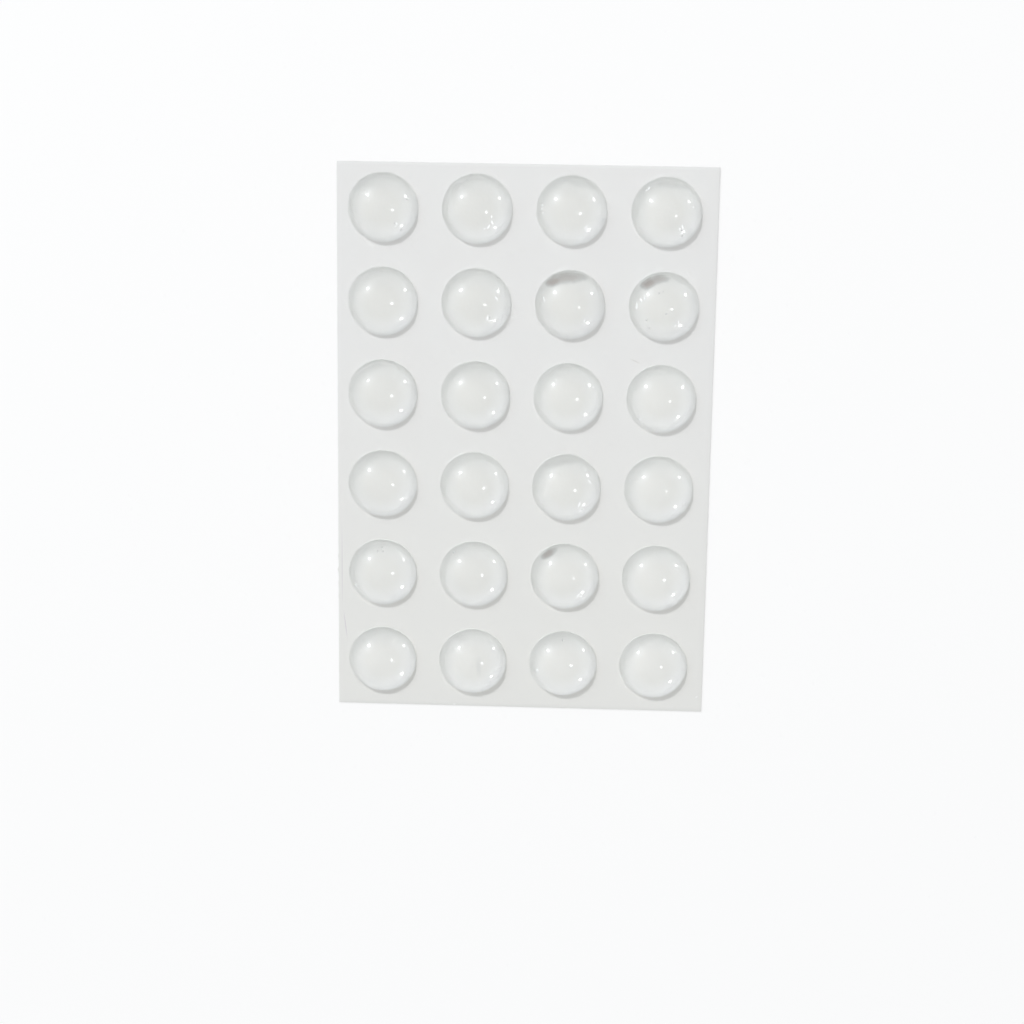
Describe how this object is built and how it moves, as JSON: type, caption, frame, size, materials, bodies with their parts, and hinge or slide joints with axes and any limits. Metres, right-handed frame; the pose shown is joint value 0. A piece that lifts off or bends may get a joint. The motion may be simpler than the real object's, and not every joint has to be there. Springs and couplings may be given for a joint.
{
  "type": "cabinet door bumper sheet",
  "caption": "Clear domed self-adhesive bumpers in a grid on a white release liner, to be peeled off one by one and stuck inside cabinet doors and drawers.",
  "frame": {"origin": "the middle of the liner's underside, which lies on the table", "axes": "+X across the columns, +Y up the long side to the first row, +Z out of the liner through the domes"},
  "size_m": [0.0524, 0.078, 0.0032],
  "materials": {
    "release_paper": "satin",
    "clear_polyurethane": "gloss",
    "clear_adhesive": "satin"
  },
  "bodies": {
    "root": {"release_liner": "release_paper", "bumper_r1_c1": "clear_polyurethane", "bumper_r1_c2": "clear_polyurethane", "bumper_r1_c3": "clear_polyurethane", "bumper_r1_c4": "clear_polyurethane", "bumper_r2_c1": "clear_polyurethane", "bumper_r2_c2": "clear_polyurethane", "bumper_r2_c3": "clear_polyurethane", "bumper_r2_c4": "clear_polyurethane", "bumper_r3_c1": "clear_polyurethane", "bumper_r3_c2": "clear_polyurethane", "bumper_r3_c3": "clear_polyurethane", "bumper_r3_c4": "clear_polyurethane", "bumper_r4_c1": "clear_polyurethane", "bumper_r4_c2": "clear_polyurethane", "bumper_r4_c3": "clear_polyurethane", "bumper_r4_c4": "clear_polyurethane", "bumper_r5_c1": "clear_polyurethane", "bumper_r5_c2": "clear_polyurethane", "bumper_r5_c3": "clear_polyurethane", "bumper_r5_c4": "clear_polyurethane", "bumper_r6_c1": "clear_polyurethane", "bumper_r6_c2": "clear_polyurethane", "bumper_r6_c3": "clear_polyurethane", "bumper_r6_c4": "clear_polyurethane", "adhesive_r1_c1": "clear_adhesive", "adhesive_r1_c2": "clear_adhesive", "adhesive_r1_c3": "clear_adhesive", "adhesive_r1_c4": "clear_adhesive", "adhesive_r2_c1": "clear_adhesive", "adhesive_r2_c2": "clear_adhesive", "adhesive_r2_c3": "clear_adhesive", "adhesive_r2_c4": "clear_adhesive", "adhesive_r3_c1": "clear_adhesive", "adhesive_r3_c2": "clear_adhesive", "adhesive_r3_c3": "clear_adhesive", "adhesive_r3_c4": "clear_adhesive", "adhesive_r4_c1": "clear_adhesive", "adhesive_r4_c2": "clear_adhesive", "adhesive_r4_c3": "clear_adhesive", "adhesive_r4_c4": "clear_adhesive", "adhesive_r5_c1": "clear_adhesive", "adhesive_r5_c2": "clear_adhesive", "adhesive_r5_c3": "clear_adhesive", "adhesive_r5_c4": "clear_adhesive", "adhesive_r6_c1": "clear_adhesive", "adhesive_r6_c2": "clear_adhesive", "adhesive_r6_c3": "clear_adhesive", "adhesive_r6_c4": "clear_adhesive"}
  },
  "joints": []
}
